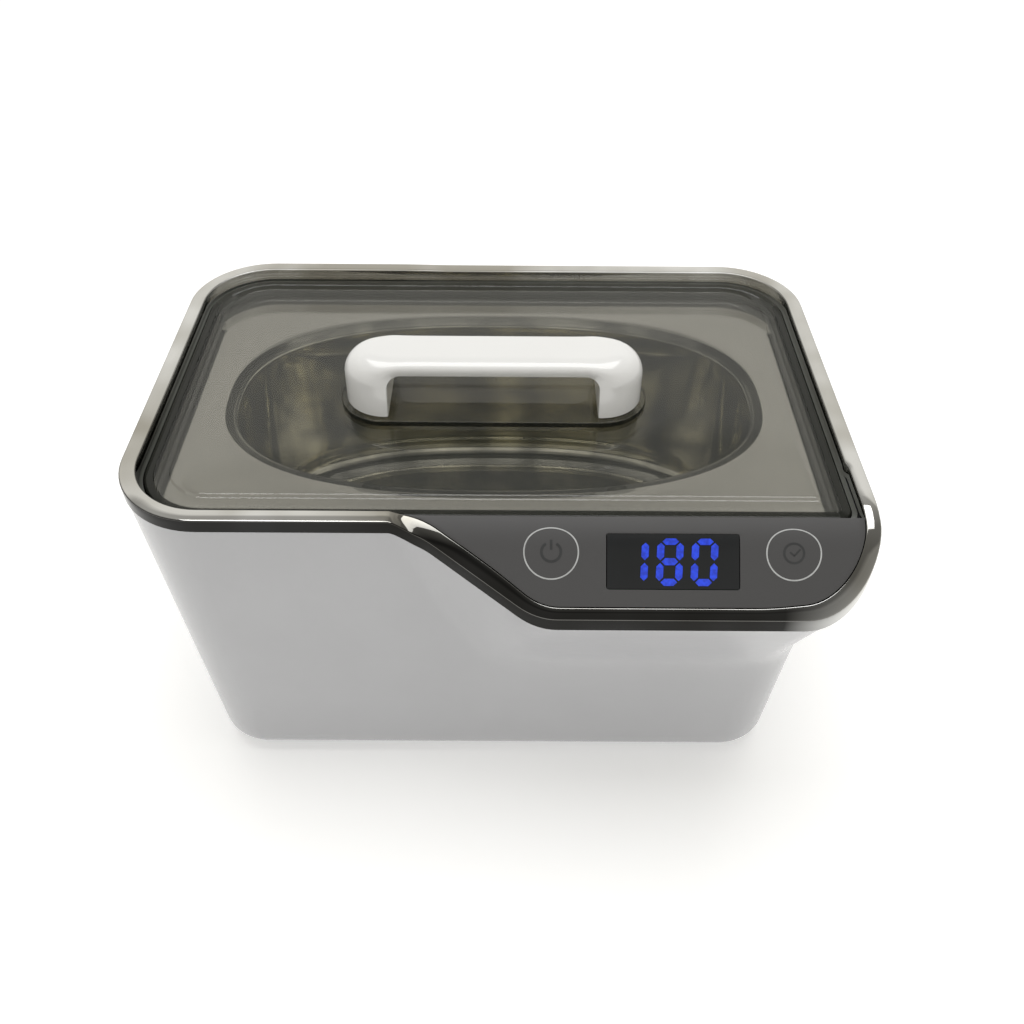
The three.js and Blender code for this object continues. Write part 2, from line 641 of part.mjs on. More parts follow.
function pinShape(side, radius) {
  const pin = new THREE.CylinderGeometry(radius, radius, INLET.pinLength, 12);
  return pin.translate(side * INLET.pins, INLET.pinEnd - INLET.pinLength / 2, 0);
}

// ---------- Leads held inside the tub ----------
function leads() {
  const inletBack = tubSection(INLET.z, 0).halfDepth - 27;
  const top = boardTop + 9.6;
  const mains = [-1, 1].map((side) => {
    const x = INLET.x + side * INLET.pins;
    const socket = BOARD.x - 6 + side * 3.3;
    const leave = [[x, inletBack, INLET.z + 1.7], [x, inletBack - 5, INLET.z]];
    return lead(0.9, [...leave, [socket, 34, top + 4], [socket, 34, top]], 6);
  });
  const sound = [-1, 1].map((side) => {
    const y = 4 + side * 2.4;
    const level = -89.6 - side * 2.7;
    return lead(0.9, [[19.4, y, level], [24, y, level + 2], [31.5, y, top + 3], [32, y, top]], 6);
  });
  const down = [[58, -70, -21], [58, -64, -36], [60, -54, -66], [63, -44, -86], [62, -35, -91]];
  return [
    part('mains_lead_live', mains[0], cableGrey),
    part('mains_lead_neutral', mains[1], cableWhite),
    part('sound_lead_upper', sound[0], cableWhite),
    part('sound_lead_lower', sound[1], cableGrey),
    part('panel_cable', lead(1.5, [...down, [62, -34, boardTop + 7.9]], 6), cableGrey),
  ];
}

// ---------- Assembly ----------
const cleaner = new THREE.Group();
cleaner.position.set(0, NOSE.depth / 2, BODY.height + FOOT.height);
const touchX = [PANEL.x - TOUCH.spread / 2, PANEL.x + TOUCH.spread / 2];

cleaner.add(
  part('housing_shell', housingShell(), white),
  part('base_cover', baseCover(), white),
  ...corners(FOOT.x, FOOT.y).map((at, i) => part(`foot_${i + 1}`, foot(at), rubber)),
  ...corners(POST.x, POST.y).map((at, i) => part(`base_screw_${i + 1}`, baseScrew(at), screwSteel)),
  part('chrome_trim', chromeTrim(), chrome),
  part('top_frame', topFrame(), black),
  part('control_fascia', controlFascia(), fasciaGrey),
  part('display_window', displayWindow(), lens),
  part('display_module', behindPanel(30, 13, 2.8, 2.6), black),
  part('control_board', behindPanel(88, 13.6, 1.2, 5.7, PANEL.x + 1, 13), board),
  part('touch_spring_power', touchSpring(touchX[0]), screwSteel),
  part('touch_spring_timer', touchSpring(touchX[1]), screwSteel),
  part('buzzer', buzzer(), black),
  part('lid_panel', lidPanel(), smoked),
  part('lid_handle', lidHandle(), white),
  part('handle_screw_left', handleScrew(handleFeet[0]), screwSteel),
  part('handle_screw_right', handleScrew(handleFeet[1]), screwSteel),
  part('tank', tank(), steel),
  part('tank_gasket', tankGasket(), silicone),
  ...soundHead(),
  ...electronics(),
  ...boardScrews.map((at, i) => part(`board_screw_${i + 1}`, boardScrew(at), screwSteel)),
  part('power_inlet', powerInlet(), black),
  part('inlet_pin_left', atInlet(pinShape(-1, 1.3)), brass),
  part('inlet_pin_right', atInlet(pinShape(1, 1.3)), brass),
  ...leads(),
);

export default cleaner;
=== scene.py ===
"""A bench-top ultrasonic cleaner: the visible pieces and their finishes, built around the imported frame.

Shapes are worked out in millimetres, measured from the middle of the trim ring at the level of its
top, and put in the frame's metres by place().
"""

import json
import math

import bmesh
import bpy
from mathutils import Matrix, Vector


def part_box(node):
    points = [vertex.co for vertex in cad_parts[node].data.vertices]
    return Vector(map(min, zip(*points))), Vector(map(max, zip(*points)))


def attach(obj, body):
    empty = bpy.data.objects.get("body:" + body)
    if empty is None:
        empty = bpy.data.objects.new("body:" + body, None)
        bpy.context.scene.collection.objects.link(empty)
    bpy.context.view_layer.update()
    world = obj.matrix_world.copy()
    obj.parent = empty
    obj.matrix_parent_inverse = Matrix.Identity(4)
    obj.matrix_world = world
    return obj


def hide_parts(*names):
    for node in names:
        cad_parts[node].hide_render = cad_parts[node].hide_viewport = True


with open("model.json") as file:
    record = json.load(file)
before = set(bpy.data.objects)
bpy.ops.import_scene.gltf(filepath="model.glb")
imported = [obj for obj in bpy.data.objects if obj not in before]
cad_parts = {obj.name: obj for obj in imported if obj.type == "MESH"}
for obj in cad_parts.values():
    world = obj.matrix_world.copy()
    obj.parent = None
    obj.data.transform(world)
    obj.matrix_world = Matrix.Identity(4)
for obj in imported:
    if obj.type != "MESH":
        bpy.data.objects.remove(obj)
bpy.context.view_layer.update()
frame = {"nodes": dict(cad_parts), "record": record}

# ---------- Sizes from the frame, in millimetres ----------
MM = 0.001


def node_box(node):
    return [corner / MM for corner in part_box(node)]


trim_low, trim_high = node_box("chrome_trim")
lid_low, lid_high = node_box("lid_panel")
handle_low, handle_high = node_box("lid_handle")
base_low, _ = node_box("housing_shell")

RING_TOP = trim_high.z
RING_Y = (lid_low.y + lid_high.y) / 2
HALF_WIDTH = trim_high.x
HALF_DEPTH = trim_high.y - RING_Y
FRONT = trim_low.y - RING_Y
BODY_BOTTOM = RING_TOP - base_low.z
LID_INSET = HALF_WIDTH - lid_high.x
HANDLE_Y = (handle_low.y + handle_high.y) / 2 - RING_Y
HANDLE_TOP = handle_high.z - RING_TOP
HANDLE_FOOT = handle_low.z - RING_TOP

# ---------- Sizes of the details ----------
# The trim ring: its corners, its section, and where its face changes width along X and, at STEP, along Y.
CORNER = 25.5
TRIM = {
    "height": 4.0, "ring": 4.6, "flank": 3.4, "front": 2.4, "right": 4.0, "edge": 0.4, "crown": 0.12,
    "to_flank": (-27, -10), "to_front": (-4, 20), "to_right": (70, 100), "side": 90,
}
STEP = -41.0
# The nose: its flank's bends and angle in degrees, its right corner, and how its stand out from the tub's
# wall falls away down to the chin.
NOSE = {
    "left": -27.0, "bend": 24.0, "flank": 26.6, "corner": 20.0, "chin": 62.0, "full_stand": 11.0,
    "fall": 0.65, "least_reach": 4, "hollow": 0.16,
}
# The top surface: level up to a ramp left of the nose, and round a shoulder into a slope at the hinge line.
LEVEL_END = -26.5
RAMP = math.radians(31)
HINGE = -64.8
SLOPE = math.radians(45)
SHOULDER = 20.0
BODY = {"half_width": 93.7, "half_depth": 59.9, "corner": 17.0, "edge": 6.0, "wall": 2.5, "clear": 0.4}
LIP = 9.0
FLOOR_SHEET = 3
INLET_HOLE = {"size": (22, 20, 12), "inwards": 8, "lean": math.atan(0.0618)}
PANEL = {"recess": 0.4, "plate": 2.0, "gap": 0.25, "rear_gap": 0.3, "window_gap": 0.25, "edge": 0.1}
WINDOW = {"x": 48.4, "slope": 11.0, "width": 35.0, "height": 15.0, "corner": 0.8, "lift": -0.1, "thick": 1.8}
TOUCH = {"x": (16.1, 80.4), "slope": 8.9, "radius": 7.4, "line": 0.38}
INK = {"lift": 0.03, "thick": 0.05}
DIGIT = {
    "width": 5.1, "height": 10.9, "pitch": 9.2, "half_bar": 0.95, "gap": 0.7, "lean": 0.05, "thick": 0.12,
    "x": -0.9, "slope": 0.3,
}
# The lid's sizes; dark_edge is the width of the painted dark edge round it, where a low bead also sits, and
# dark_back is where that painted dark edge stops towards the back.
LID = {
    "top": -3.5, "plate": 2.6, "skirt": 5.2, "rise": 0.9, "border": 7.2, "corner": 4.0, "least_corner": 1.6,
    "edge": 0.7, "wall": 2.2, "dark_edge": 2.5, "dark_back": 45,
}
BOSS = {"width": 92.5, "depth": 28.5, "rise": 1.8, "sunk": 0.6, "edge": 0.5}
HANDLE = {
    "half": 44.5, "gap": 31.0, "foot": 12.5, "bar": 8.5, "thick": 4.2, "inner": 3.5, "shoulder": 7.5,
    "bar_crown": 2.6, "leg_flat": 0.8, "inner_edge": 0.9,
}
TANK = {
    "deck": -9.0, "sheet": 1.2, "half_width": 84.0, "half_depth": 46.5, "depth": 57.0, "deck_gap": 0.8,
    "steps": 180,
}
BASIN = {"band": 2.6, "drop": 0.9, "roll": 1.2, "floor_radius": 11.0, "draft": 2.0, "power": 2.5}


def place(x, y, z):
    """A point of the cleaner in the frame's metres."""
    return Vector((x, y + RING_Y, z + RING_TOP)) * MM


def lerp(a, b, t):
    return a + (b - a) * t


def ease(low, high, value):
    """0 below low, 1 above high, and smooth in between."""
    t = min(max((value - low) / (high - low), 0.0), 1.0)
    return t * t * (3 - 2 * t)


# ---------- Meshes ----------
def new_object(name, mesh, material):
    piece = bpy.data.objects.new(name, mesh)
    bpy.context.scene.collection.objects.link(piece)
    mesh.materials.append(material)
    return piece


def mesh_piece(name, points, faces, material, sharp=35):
    """A mesh object from points in millimetres, its faces turned outwards and smooth but for its edges."""
    mesh = bpy.data.meshes.new(name)
    mesh.from_pydata([place(*p) for p in points], [], faces)
    work = bmesh.new()
    work.from_mesh(mesh)
    bmesh.ops.remove_doubles(work, verts=work.verts, dist=1e-7)
    bmesh.ops.recalc_face_normals(work, faces=work.faces)
    work.to_mesh(mesh)
    work.free()
    smooth(mesh, sharp)
    return new_object(name, mesh, material)


def smooth(mesh, sharp=35):
    mesh.polygons.foreach_set("use_smooth", [True] * len(mesh.polygons))
    mesh.set_sharp_from_angle(angle=math.radians(sharp))


def grid_faces(rows, columns, close_rows=False, close_columns=True):
    """Quads between rows of points laid one after another."""
    faces = []
    for r in range(rows if close_rows else rows - 1):
        for c in range(columns if close_columns else columns - 1):
            a, b = r * columns, (r + 1) % rows * columns
            d = (c + 1) % columns
            faces.append((a + c, a + d, b + d, b + c))
    return faces


def skin(rows, **closing):
    """Points and quads of a surface given as rows of points."""
    return [p for row in rows for p in row], grid_faces(len(rows), len(rows[0]), **closing)


def stack(name, rows, material, sharp=35):
    """A closed body from rows round it, its first and last row filled in."""
    points, faces = skin(rows)
    count = len(rows[0])
    last = len(points) - count
    faces += [tuple(range(count)), tuple(range(last, last + count))]
    return mesh_piece(name, points, faces, material, sharp)


def block(name, size, centre, tilt):
    """A box to cut with, its centre in the frame's millimetres, turned about X."""
    mesh = bpy.data.meshes.new(name)
    work = bmesh.new()
    bmesh.ops.create_cube(work, size=MM)
    turn = Matrix.Translation(Vector(centre) * MM) @ Matrix.Rotation(tilt, 4, "X")
    bmesh.ops.transform(work, matrix=turn @ Matrix.Diagonal((*size, 1)), verts=work.verts)
    work.to_mesh(mesh)
    work.free()
    piece = bpy.data.objects.new(name, mesh)
    bpy.context.scene.collection.objects.link(piece)
    return piece


def join(name, pieces):
    """Makes one piece of several."""
    work = bmesh.new()
    for piece in pieces:
        work.from_mesh(piece.data)
    mesh = bpy.data.meshes.new(name)
    work.to_mesh(mesh)
    work.free()
    material = pieces[0].data.materials[0]
    for piece in pieces:
        bpy.data.objects.remove(piece)
    smooth(mesh)
    return new_object(name, mesh, material)


def freeze(piece, sharp=35):
    """Applies the piece's modifiers."""
    evaluated = piece.evaluated_get(bpy.context.evaluated_depsgraph_get())
    mesh = bpy.data.meshes.new_from_object(evaluated)
    piece.modifiers.clear()
    piece.data = mesh
    smooth(mesh, sharp)
    return piece


def thicken(piece, thickness, both_ways=False, sharp=35):
    """Makes a plate of a surface, below its upper side or both ways from it."""
    faces_up = piece.data.polygons[0].normal.z > 0
    plate = piece.modifiers.new("thickness", "SOLIDIFY")
    plate.thickness = thickness * MM
    plate.offset = 0 if both_ways else -1 if faces_up else 1
    return freeze(piece, sharp)


def combine(piece, tool, operation):
    """Cuts the tool out of the piece, or joins it on."""
    cut = piece.modifiers.new("combine", "BOOLEAN")
    cut.object = tool
    cut.operation = operation
    cut.solver = "EXACT"
    freeze(piece)
    bpy.data.objects.remove(tool)
    return piece


def bevel(piece, width, angle=30):
    """Rounds the piece's sharp edges."""
    edge = piece.modifiers.new("edges", "BEVEL")
    edge.width = width * MM
    edge.segments = 2
    edge.limit_method = "ANGLE"
    edge.angle_limit = math.radians(angle)
    edge.use_clamp_overlap = True
    return piece


def second_finish(piece, material, chosen):
    """Gives the piece's chosen faces another finish."""
    piece.data.materials.append(material)
    for face in piece.data.polygons:
        if chosen(face):
            face.material_index = 1


def bound(piece, body, slot, *nodes):
    """Puts the piece on its body and hides the frame's nodes that it stands for; its slot is not used."""
    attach(piece, body)
    if nodes:
        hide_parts(*nodes)
    return piece


# ---------- Outlines seen from above, each a list of (point, outward normal) ----------
def arc(centre, radius, start, end, steps, hollow=False):
    """Along an arc from start to end, in degrees, its last point left out."""
    made = []
    for i in range(steps):
        angle = math.radians(lerp(start, end, i / steps))
        out = Vector((math.cos(angle), math.sin(angle)))
        made.append((Vector(centre) + out * radius, -out if hollow else out))
    return made


def line(start, end, steps):
    """Along a straight line, its last point left out."""
    start, end = Vector(start), Vector(end)
    along = (end - start).normalized()
    return [(start.lerp(end, i / steps), Vector((along.y, -along.x))) for i in range(steps)]


def rounded(half_width, half_depth, corner, front_right=None, steps=14):
    """A rectangle with round corners, counter-clockwise from the right."""
    near = corner if front_right is None else front_right
    right, back = half_width - corner, half_depth - corner
    near_x, near_y = half_width - near, half_depth - near
    return [
        *arc((right, back), corner, 0, 90, steps),
        *line((right, half_depth), (-right, half_depth), 16),
        *arc((-right, back), corner, 90, 180, steps),
        *line((-half_width, back), (-half_width, -back), 10),
        *arc((-right, -back), corner, 180, 270, steps),
        *line((-right, -half_depth), (near_x, -half_depth), 16),
        *arc((near_x, -near_y), near, 270, 360, steps),
        *line((half_width, -near_y), (half_width, back), 10),
    ]


def trim_outline():
    """The ring with the nose: a flank in an S, a straight front and a round right corner."""
    right, back = HALF_WIDTH - CORNER, HALF_DEPTH - CORNER
    bend, corner, flank = NOSE["bend"], NOSE["corner"], NOSE["flank"]
    turn = math.radians(flank)
    depth = -HALF_DEPTH - FRONT
    straight = (depth - 2 * bend * (1 - math.cos(turn))) / math.sin(turn)
    flank_exit = NOSE["left"] + 2 * bend * math.sin(turn) + straight * math.cos(turn)
    upper = arc((NOSE["left"], -HALF_DEPTH - bend), bend, 90, 90 - flank, 8, hollow=True)
    lower = arc((flank_exit, FRONT + bend), bend, -90 - flank, -90, 8)
    upper_end = arc((NOSE["left"], -HALF_DEPTH - bend), bend, 90 - flank, 90, 1, hollow=True)[0][0]
    return [
        *arc((right, back), CORNER, 0, 90, 18),
        *line((right, HALF_DEPTH), (-right, HALF_DEPTH), 24),
        *arc((-right, back), CORNER, 90, 180, 18),
        *line((-HALF_WIDTH, back), (-HALF_WIDTH, -back), 14),
        *arc((-right, -back), CORNER, 180, 270, 18),
        *line((-right, -HALF_DEPTH), (NOSE["left"], -HALF_DEPTH), 14),
        *upper,
        *line(upper_end, lower[0][0], 14),
        *lower,
        *line((flank_exit, FRONT), (HALF_WIDTH - corner, FRONT), 24),
        *arc((HALF_WIDTH - corner, FRONT + corner), corner, -90, 0, 18),
        *line((HALF_WIDTH, FRONT + corner), (HALF_WIDTH, STEP - 6), 6),
        *line((HALF_WIDTH, STEP - 6), (HALF_WIDTH, STEP + 4), 10),
        *line((HALF_WIDTH, STEP + 4), (HALF_WIDTH, back), 22),
    ]


def stadium(width, depth, y, steps=20):
    radius = depth / 2
    reach = width / 2 - radius
    return [*arc((reach, y), radius, -90, 90, steps), *arc((-reach, y), radius, 90, 270, steps)]


def inset_by(outline, distance):
    return [p - n * distance for p, n in outline]


def at_level(points, z):
    return [(p.x, p.y, z) for p in points]


def slope_level(y):
    """Level, then a bend, then the slope of the panel."""
    start = HINGE + SHOULDER * math.tan(SLOPE / 2)
    end = start - SHOULDER * math.sin(SLOPE)
    if y >= start:
        return 0.0
    if y > end:
        return math.sqrt(SHOULDER**2 - (y - start) ** 2) - SHOULDER
    return (y - HINGE) * math.tan(SLOPE)


def top_level(x, y):
    """Height of the trim's top surface: the slope, but level left of the nose, with a ramp between them."""
    slope, ramp = slope_level(y), min(0.0, (LEVEL_END - x) * math.tan(RAMP))
    soft = 0.5
    higher = (slope + ramp + math.sqrt((slope - ramp) ** 2 + soft**2) - soft) / 2
    return min(0.0, higher)


# ---------- Finishes ----------
def node_tree(name):
    made = bpy.data.materials.new(name)
    made.use_nodes = True
    return made, made.node_tree.nodes, made.node_tree.links, made.node_tree.nodes["Principled BSDF"]


def noise(nodes, links, scale, detail=3.0, stretch=(1, 1, 1)):
    """A noise texture over the piece, in repeats per metre."""
    where = nodes.new("ShaderNodeTexCoord")
    mapping = nodes.new("ShaderNodeMapping")
    mapping.inputs["Scale"].default_value = stretch
    texture = nodes.new("ShaderNodeTexNoise")
    texture.inputs["Scale"].default_value = scale
    texture.inputs["Detail"].default_value = detail
    links.new(where.outputs["Object"], mapping.inputs["Vector"])
    links.new(mapping.outputs["Vector"], texture.inputs["Vector"])
    return texture.outputs["Fac"]


def component(nodes, links, kind, axis):
    """One axis of a texture coordinate."""
    where = nodes.new("ShaderNodeTexCoord")
    split = nodes.new("ShaderNodeSeparateXYZ")
    links.new(where.outputs[kind], split.inputs["Vector"])
    return split.outputs[axis]


def mapped(nodes, links, value, start, end, low=0.0, high=1.0):
    """Maps start to end on to low to high."""
    ranged = nodes.new("ShaderNodeMapRange")
    ranged.inputs["From Min"].default_value = start
    ranged.inputs["From Max"].default_value = end
    ranged.inputs["To Min"].default_value = low
    ranged.inputs["To Max"].default_value = high
    links.new(value, ranged.inputs["Value"])
    return ranged.outputs["Result"]


def spread(nodes, links, value, low, high):
    """Maps a noise, which is mostly between 0.3 and 0.7, to a range."""
    return mapped(nodes, links, value, 0.3, 0.7, low, high)


def two_tone(nodes, links, value, first, second):
    ramp = nodes.new("ShaderNodeValToRGB")
    for element, position, colour in zip(ramp.color_ramp.elements, (0.35, 0.65), (first, second)):
        element.position = position
        element.color = (*colour, 1)
    links.new(value, ramp.inputs["Fac"])
    return ramp.outputs["Color"]


def grey_ramp(nodes, links, value, stops, tint):
    """A tinted grey by stops of (position, grey)."""
    ramp = nodes.new("ShaderNodeValToRGB")
    elements = ramp.color_ramp.elements
    while len(elements) < len(stops):
        elements.new(0.5)
    for element, (position, level) in zip(elements, stops):
        element.position = position
        element.color = (*tinted(tint, level), 1)
    links.new(value, ramp.inputs["Fac"])
    return ramp.outputs["Color"]


def mixed(nodes, links, first, second, share=None, blend="MIX"):
    """Two colours mixed by a share, or one blended over the other."""
    mix = nodes.new("ShaderNodeMix")
    mix.data_type = "RGBA"
    mix.blend_type = blend
    mix.inputs[0].default_value = 1.0
    if share is not None:
        links.new(share, mix.inputs[0])
    links.new(first, mix.inputs["A"])
    links.new(second, mix.inputs["B"])
    return mix.outputs["Result"]


def raise_bump(nodes, links, shader, height, distance):
    bump = nodes.new("ShaderNodeBump")
    bump.inputs["Distance"].default_value = distance
    links.new(height, bump.inputs["Height"])
    links.new(bump.outputs["Normal"], shader.inputs["Normal"])


def tinted(colour, factor):
    return tuple(min(1.0, c * factor) for c in colour)


def finish_of(name, colour, roughness, metallic=0.0, tone=0.03, cloud=40, wear=0.05, grain=None, **sockets):
    """A finish slightly uneven in tone and gloss, with a grain of (repeats per metre, depth in metres)."""
    made, nodes, links, shader = node_tree(name)
    shader.inputs["Metallic"].default_value = metallic
    for socket, value in sockets.items():
        shader.inputs[socket.replace("_", " ").title().replace("Ior", "IOR")].default_value = value
    clouds = noise(nodes, links, cloud)
    tones = two_tone(nodes, links, clouds, tinted(colour, 1 - tone), tinted(colour, 1 + tone))
    links.new(tones, shader.inputs["Base Color"])
    smears = noise(nodes, links, cloud * 6, 4)
    gloss = spread(nodes, links, smears, roughness * (1 - wear), roughness * (1 + wear))
    links.new(gloss, shader.inputs["Roughness"])
    if grain:
        repeats, depth = grain
        raise_bump(nodes, links, shader, noise(nodes, links, repeats, 2), depth)
    return made


# Painted shade: the body's white plastic gets a mid grey, much darker than the handle's, standing in for the
# shade its walls sit in.
white_plastic = finish_of(
    "white_plastic", (0.405, 0.407, 0.424), 0.24, tone=0.012, grain=(420, 0.00003),
    coat_weight=0.3, coat_roughness=0.06, specular_ior_level=0.5,
)
handle_plastic = finish_of(
    "handle_plastic", (0.76, 0.76, 0.755), 0.16, tone=0.01, grain=(300, 0.00002),
    coat_weight=0.5, coat_roughness=0.04,
)
fascia_plastic = finish_of(
    "fascia_plastic", (0.068, 0.067, 0.068), 0.5, tone=0.04, cloud=14, grain=(900, 0.00001),
    specular_ior_level=0.3,
)
lens_black = finish_of(
    "lens_black", (0.011, 0.012, 0.013), 0.3, tone=0.1, cloud=60, specular_ior_level=0.3,
)
ring_ink = finish_of("ring_ink", (0.42, 0.43, 0.43), 0.35, tone=0.08, cloud=500)
mark_ink = finish_of("mark_ink", (0.028, 0.029, 0.030), 0.4, tone=0.1, cloud=500)
# Painted shade: a near-black, nearly opaque copy of the smoked plastic for the lid's sides and the strip over
# its skirt, standing in for the shade seen through the thick skirt and the dark reflections along its sides.
painted_dark_edge = finish_of(
    "painted_dark_edge", (0.012, 0.013, 0.010), 0.12, tone=0.1, cloud=60, alpha=0.95, specular_ior_level=0.25,
)
deck_steel = finish_of("deck_steel", (0.74, 0.72, 0.65), 0.11, metallic=1.0, tone=0.05, cloud=9)


def make_smoked():
    """Clear plastic with a grey-green smoke in it."""
    made, nodes, links, shader = node_tree("smoked_plastic")
    shader.inputs["Alpha"].default_value = 0.26
    shader.inputs["IOR"].default_value = 2.3
    tones = two_tone(nodes, links, noise(nodes, links, 20), (0.030, 0.033, 0.026), (0.034, 0.037, 0.030))
    links.new(tones, shader.inputs["Base Color"])
    gloss = spread(nodes, links, noise(nodes, links, 160), 0.02, 0.04)
    links.new(gloss, shader.inputs["Roughness"])
    return made


def painted_reflection_by_tilt(nodes, links, stops):
    """A painted reflection: a grey that depends on how far a face is turned up, standing in for the room that
    polished metal reflects.
    """
    return grey_ramp(nodes, links, component(nodes, links, "Normal", "Z"), stops, (1, 1, 0.985))


def faded(nodes, links, first, second, fades):
    """The first colour turning into the second along the frame's axes: (axis, from, to) in metres."""
    for axis, start, end in fades:
        share = mapped(nodes, links, component(nodes, links, "Object", axis), start, end)
        first = mixed(nodes, links, first, second, share)
    return first


def metal(name, stops, streaks, scale, stretch, gloss, pale=None, fades=()):
    """A bright metal with a painted reflection: its grey set by tilt, turning into a paler painted reflection
    where it fades, with streaks over it.
    """
    made, nodes, links, shader = node_tree(name)
    shader.inputs["Metallic"].default_value = 1.0
    over = two_tone(nodes, links, noise(nodes, links, scale, 2.0, stretch), *streaks)
    greys = painted_reflection_by_tilt(nodes, links, stops)
    if pale:
        greys = faded(nodes, links, greys, painted_reflection_by_tilt(nodes, links, pale), fades)
    links.new(mixed(nodes, links, greys, over, blend="MULTIPLY"), shader.inputs["Base Color"])
    rough = spread(nodes, links, noise(nodes, links, scale * 2, 2.0, stretch), *gloss)
    links.new(rough, shader.inputs["Roughness"])
    return made


def make_lit():
    """The lit bars of the display, their glow a little uneven."""
    made, nodes, links, shader = node_tree("display_light")
    glow = two_tone(nodes, links, noise(nodes, links, 900, 1), (0.006, 0.03, 0.42), (0.014, 0.065, 0.80))
    shader.inputs["Base Color"].default_value = (0.01, 0.02, 0.2, 1)
    shader.inputs["Roughness"].default_value = 0.3
    links.new(glow, shader.inputs["Emission Color"])
    shader.inputs["Emission Strength"].default_value = 0.75
    return made


smoked_plastic = make_smoked()
display_light = make_lit()
# Painted reflection: the tank's grey is set by how far each face is turned up, dark on the faces that slope
# gently in below the deck, standing in for the room the steel reflects.
polished_steel = metal(
    "polished_steel",
    stops=(
        (0.0, 0.80), (0.3, 0.85), (0.56, 1.0), (0.66, 1.0),
        (0.76, 0.14), (0.95, 0.10), (0.985, 0.72), (1.0, 0.72),
    ),
    streaks=((0.30, 0.29, 0.25), (1.0, 0.96, 0.80)),
    scale=62,
    stretch=(1, 1, 0.04),
    gloss=(0.05, 0.10),
)
# Painted reflection: the chrome's grey is set by how far each face is turned up, dark on its sides and pale
# on top, with a paler ramp towards the back and at the right end, standing in for the room the chrome
# reflects.
chrome_plate = metal(
    "chrome_plate",
    stops=(
        (0.0, 0.03), (0.3, 0.035), (0.42, 0.30), (0.5, 0.02),
        (0.74, 0.03), (0.87, 0.22), (0.97, 0.5), (0.99, 0.82), (1.0, 0.80),
    ),
    streaks=((0.55, 0.53, 0.48), (1.0, 1.0, 1.0)),
    scale=30,
    stretch=(1, 1, 1),
    gloss=(0.04, 0.07),
    pale=((0.0, 0.80), (0.4, 0.60), (0.7, 0.30), (0.9, 0.45), (1.0, 0.80)),
    fades=(("Y", -0.045, 0.005), ("X", 0.078, 0.098)),
)


# ---------- Chrome trim ----------
def face_width(p):
    """How wide the trim's upper face is at a point of its outline."""
    if p.x > TRIM["side"] and p.y > STEP - 8:
        return lerp(TRIM["right"], TRIM["ring"], ease(STEP - 3, STEP, p.y))
    if p.y > 0:
        return TRIM["ring"]
    width = lerp(TRIM["ring"], TRIM["flank"], ease(*TRIM["to_flank"], p.x))
    width = lerp(width, TRIM["front"], ease(*TRIM["to_front"], p.x))
    return lerp(width, TRIM["right"], ease(*TRIM["to_right"], p.x))


def rounding(steps):
    """The angles of a quarter turn."""
    return [math.radians(90 * i / steps) for i in range(steps + 1)]


def trim_profile(width):
    """Round the trim's section: pairs of distance inwards and height over the top surface."""
    edge, crown = TRIM["edge"], TRIM["crown"]
    outer = [(edge * (1 - math.sin(a)), edge * (1 - math.cos(a))) for a in reversed(rounding(4))]
    top = [(d, -drop) for d, drop in outer]
    middle = [(lerp(edge, width - edge, t), crown * math.sin(math.pi * t)) for t in (0.25, 0.5, 0.75)]
    inner = [(width - d, h) for d, h in reversed(top)]
    return [(0, -TRIM["height"]), (0, -TRIM["height"] / 2), *top, *middle, *inner, (width, -TRIM["height"])]


def chrome_trim():
    columns = []
    for p, n in trim_outline():
        column = []
        for inwards, height in trim_profile(face_width(p)):
            q = p - n * inwards
            column.append((q.x, q.y, top_level(q.x, q.y) + height))
        columns.append(column)
    points, faces = skin(columns, close_rows=True)
    band = mesh_piece("trim_band", points, faces, chrome_plate, 50)
    return bound(band, "tub", "chrome_plate", "chrome_trim")


# ---------- Housing ----------
def tub_section(depth):
    """Half width, half depth and corner of the tub at a depth below the ring."""
    t = min(max((depth - TRIM["height"]) / (BODY_BOTTOM - TRIM["height"]), 0), 1)
    clear = BODY["clear"]
    return (
        lerp(HALF_WIDTH - clear, BODY["half_width"], t),
        lerp(HALF_DEPTH - clear, BODY["half_depth"], t),
        lerp(CORNER - clear, BODY["corner"], t),
    )


def on_tub(p, depth, inset):
    """The point of the tub's wall that is nearest to p."""
    half_width, half_depth, corner = tub_section(depth)
    core_x, core_y = half_width - corner, half_depth - corner
    anchor = Vector((min(max(p.x, -core_x), core_x), min(max(p.y, -core_y), core_y)))
    return anchor + (p - anchor).normalized() * (corner - inset)


def stand_left(run):
    """What is left of the nose's stand after a run down towards the chin, with a soft hollow at its end."""
    soft = NOSE["hollow"]
    left = 1 - run
    whole = (1 + math.sqrt(1 + soft**2)) / 2
    return (left + math.sqrt(left**2 + soft**2)) / 2 / whole


def shell_column(p, n, wall):
    """One line down the wall under a point of the trim's outline: its top depth, and its point at a depth."""
    start = p - n * (BODY["clear"] + wall)
    top = TRIM["height"] + 0.1 - top_level(start.x, start.y)
    stand = start - on_tub(start, top, wall)
    share = 1.0
    if p.x < WINDOW["x"]:  # along the flank the stand is smaller and ends sooner
        share = min(1.0, (max(stand.length, 0.05) / NOSE["full_stand"]) ** NOSE["fall"])
    reach = max((NOSE["chin"] - top) * share, NOSE["least_reach"])

    def at(depth):
        q = on_tub(start, depth, wall) + stand * stand_left(max(0, depth - top) / reach)
        return (q.x, q.y, -depth)

    return top, at


def housing_wall(p, n, wall, rows):
    """Down the wall: a number of rows to a little below the chin, then five to the bottom edge."""
    top, at = shell_column(p, n, wall)
    low, closing_up = NOSE["chin"] + 14, 1.1
    upper = [at(lerp(top, low, (i / rows) ** closing_up)) for i in range(rows + 1)]
    return upper + [at(lerp(low, BODY_BOTTOM - BODY["edge"], (i + 1) / 5)) for i in range(5)]


